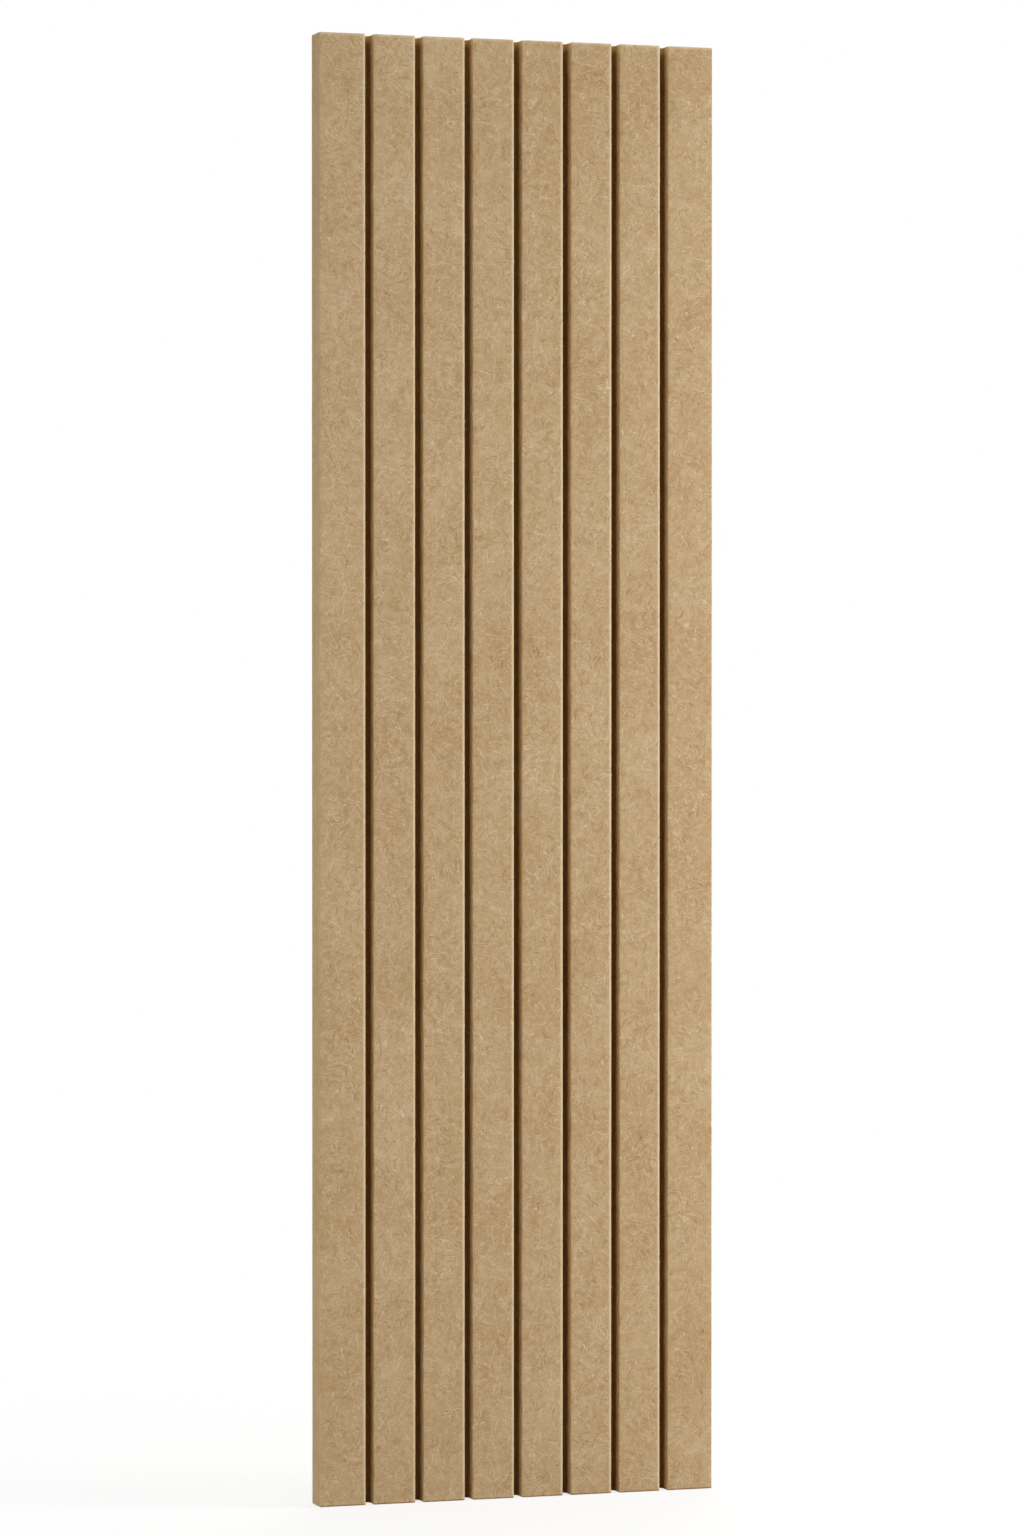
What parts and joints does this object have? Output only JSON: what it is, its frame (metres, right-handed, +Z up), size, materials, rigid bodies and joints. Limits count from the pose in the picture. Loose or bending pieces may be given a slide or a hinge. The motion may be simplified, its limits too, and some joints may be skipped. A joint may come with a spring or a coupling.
{
  "type": "acoustic panel",
  "caption": "Tall felt acoustic panel with flat upright ribs and narrow round-bottomed grooves, glued to a wall by its flat back to soak up sound.",
  "frame": {"origin": "middle of the flat back face, where the panel meets the wall", "axes": "+Z up along the grooves, +Y out of the back into the wall, so the grooved face looks along -Y"},
  "size_m": [0.34, 0.024, 1.2],
  "materials": {
    "felt": "needle-punched fibre felt, matt, with a fine lighter and darker mottle"
  },
  "bodies": {
    "root": {"grooved_panel": "felt"}
  },
  "joints": []
}
